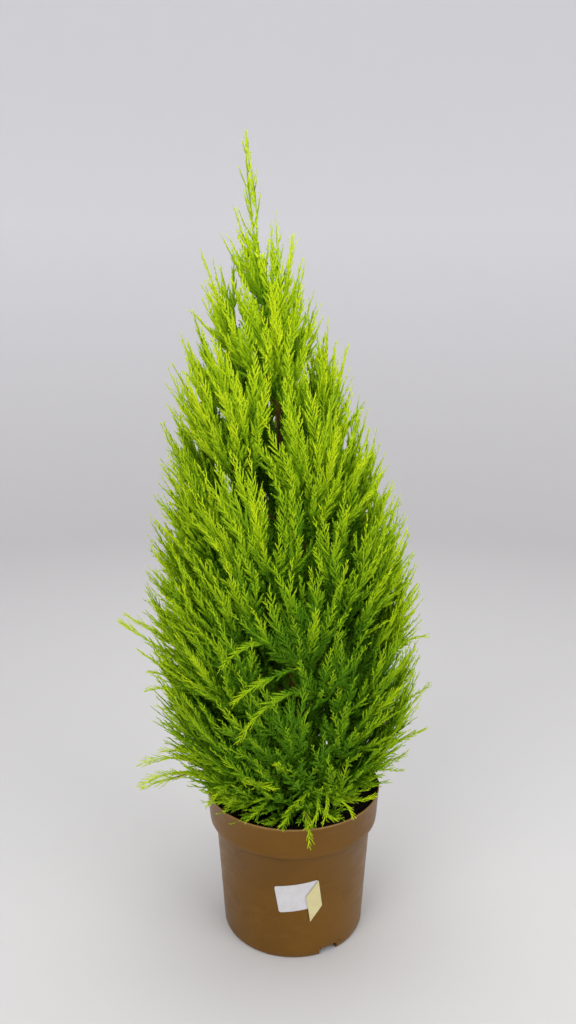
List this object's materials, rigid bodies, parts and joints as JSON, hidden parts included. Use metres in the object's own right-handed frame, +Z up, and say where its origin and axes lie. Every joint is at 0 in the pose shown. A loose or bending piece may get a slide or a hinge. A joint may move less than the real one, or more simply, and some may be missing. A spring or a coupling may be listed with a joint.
{
  "type": "potted lemon cypress",
  "caption": "Young lemon cypress, a narrow cone of upright feathery plumes, growing in a round tapered plastic nursery pot that stands on its flat underside.",
  "frame": {"origin": "centre of the pot's flat underside, on the surface that the pot stands on", "axes": "+Z up along the pot and the trunk, -Y the side with the label, +X to the right of a viewer who faces the label"},
  "size_m": [0.4112, 0.3887, 1.003],
  "materials": {
    "pot_plastic": "moulded satin bronze-brown plastic",
    "soil": "dark damp potting soil of peat and bark",
    "bark": "young reddish-brown bark with fine relief",
    "foliage": "soft yellow-green scale needles",
    "label_paper": "bare white label with a slight sheen",
    "flap_paper": "bare pale yellow paper, folded over the label"
  },
  "bodies": {
    "root": {"pot": "pot_plastic", "soil": "soil", "label": "label_paper", "label_flap": "flap_paper", "trunk": "bark", "bough_01": "bark", "bough_02": "bark", "bough_03": "bark", "bough_04": "bark", "bough_05": "bark", "bough_06": "bark", "bough_07": "bark", "bough_08": "bark", "bough_09": "bark", "bough_10": "bark", "bough_11": "bark", "bough_12": "bark", "bough_13": "bark", "bough_14": "bark", "bough_15": "bark", "bough_16": "bark", "bough_17": "bark", "bough_18": "bark", "bough_19": "bark", "bough_20": "bark", "bough_21": "bark", "bough_22": "bark", "bough_23": "bark", "bough_24": "bark", "plume_01": "foliage", "plume_02": "foliage", "plume_03": "foliage", "plume_04": "foliage", "plume_05": "foliage", "plume_06": "foliage", "plume_07": "foliage", "plume_08": "foliage", "plume_09": "foliage", "plume_10": "foliage", "plume_11": "foliage", "plume_12": "foliage", "plume_13": "foliage", "plume_14": "foliage", "plume_15": "foliage", "plume_16": "foliage", "plume_17": "foliage", "plume_18": "foliage", "plume_19": "foliage", "plume_20": "foliage", "plume_21": "foliage", "plume_22": "foliage", "plume_23": "foliage", "plume_24": "foliage", "plume_25": "foliage", "plume_26": "foliage", "plume_27": "foliage", "plume_28": "foliage", "plume_29": "foliage", "leader": "foliage"}
  },
  "joints": []
}
